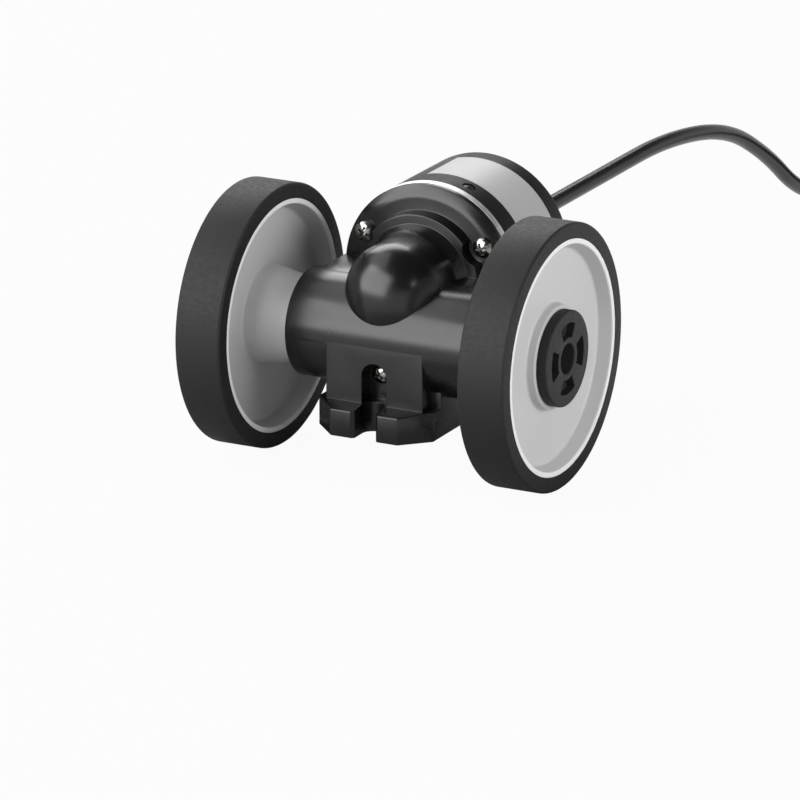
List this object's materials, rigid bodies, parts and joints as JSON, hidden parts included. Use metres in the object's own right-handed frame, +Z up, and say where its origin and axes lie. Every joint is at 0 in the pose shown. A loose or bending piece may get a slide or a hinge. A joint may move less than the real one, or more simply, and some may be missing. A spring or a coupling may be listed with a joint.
{
  "type": "measuring wheel encoder",
  "caption": "Length measuring encoder: rubber-tyred wheels on a cross axle turn a geared rotary encoder on a cast body with a bolt-down foot and a cable.",
  "frame": {"origin": "middle of the base's underside, the face that bolts to a bracket", "axes": "+X along the wheel axle, +Y back along the encoder axis towards the cable, +Z up from the base"},
  "size_m": [0.1322, 0.4347, 0.0807],
  "materials": {
    "black_paint": "semi-gloss black paint on a casting",
    "encoder_black": "satin black paint",
    "screw_steel": "bright nickel plate",
    "cover_screw_black": "black oxide",
    "tread_rubber": "smooth matt rubber",
    "hub_plastic": "light grey satin",
    "cap_plastic": "matt black",
    "ground_steel": "ground steel",
    "spring_steel": "dark spring steel",
    "seal_rubber": "matt black",
    "gear_steel": "hobbed steel",
    "gear_bronze": "bronze",
    "turned_aluminium": "bright turned",
    "label_foil": "silver foil, bare",
    "disc_steel": "etched plate",
    "board_green": "solder mask",
    "standoff_brass": "bright",
    "chip_black": "moulded black",
    "connector_white": "moulded white",
    "cable_pvc": "black sheath",
    "stop_metal": "crimped",
    "wire_insulation": "coloured insulation"
  },
  "bodies": {
    "housing": {"gear_housing": "black_paint", "encoder_cover": "encoder_black", "flange_screws_upper": "screw_steel", "flange_screw_lower": "screw_steel", "board_screws": "screw_steel", "cover_screws": "cover_screw_black", "bearing_outer_ring_left": "ground_steel", "bearing_outer_ring_right": "ground_steel", "bearing_balls_left": "ground_steel", "bearing_balls_right": "ground_steel", "bearing_circlips": "spring_steel", "axle_seal_left": "seal_rubber", "axle_seal_right": "seal_rubber", "cover_o_ring": "seal_rubber", "cable_gland": "seal_rubber", "shaft_bush_front": "gear_bronze", "shaft_bush_rear": "gear_bronze", "encoder_flange": "turned_aluminium", "label_band": "label_foil", "fixed_mask": "disc_steel", "circuit_board": "board_green", "board_standoffs": "standoff_brass", "board_chips": "chip_black", "light_source": "chip_black", "light_sensor": "chip_black", "board_connector": "connector_white", "cable_tube": "cable_pvc", "cable_coil": "cable_pvc", "cable_inner_end": "cable_pvc", "cable_tie": "cable_pvc", "cable_stop": "stop_metal", "lead_wires": "wire_insulation", "cable_leads": "wire_insulation"},
    "wheel_set": {"axle": "ground_steel", "drive_gear": "gear_steel", "drive_gear_pin": "ground_steel", "gear_spacers": "ground_steel", "wheel_spacers": "ground_steel", "bearing_inner_ring_left": "ground_steel", "bearing_inner_ring_right": "ground_steel", "wheel_hub_left": "hub_plastic", "wheel_hub_right": "hub_plastic", "tyre_left": "tread_rubber", "tyre_right": "tread_rubber", "hub_cap_left": "cap_plastic", "hub_cap_right": "cap_plastic", "wheel_drive_pins": "ground_steel", "wheel_washers": "screw_steel", "wheel_screws": "screw_steel"},
    "encoder_rotor": {"encoder_shaft": "ground_steel", "driven_gear": "gear_bronze", "driven_gear_pin": "ground_steel", "shaft_spacers": "ground_steel", "disc_hub": "turned_aluminium", "code_disc": "disc_steel", "disc_clamp": "turned_aluminium"}
  },
  "joints": [
    {"name": "wheel_spin", "type": "hinge", "parent": "housing", "child": "wheel_set", "pos_m": [0, 0, 0.02643], "axis": [1, 0, 0], "continuous": true},
    {"name": "encoder_spin", "type": "hinge", "parent": "housing", "child": "encoder_rotor", "pos_m": [0, 0, 0.03982], "axis": [0, 1, 0], "continuous": true}
  ],
  "couplings": [
    {"joint": "encoder_spin", "follows": "wheel_spin", "ratio": 0.25}
  ]
}
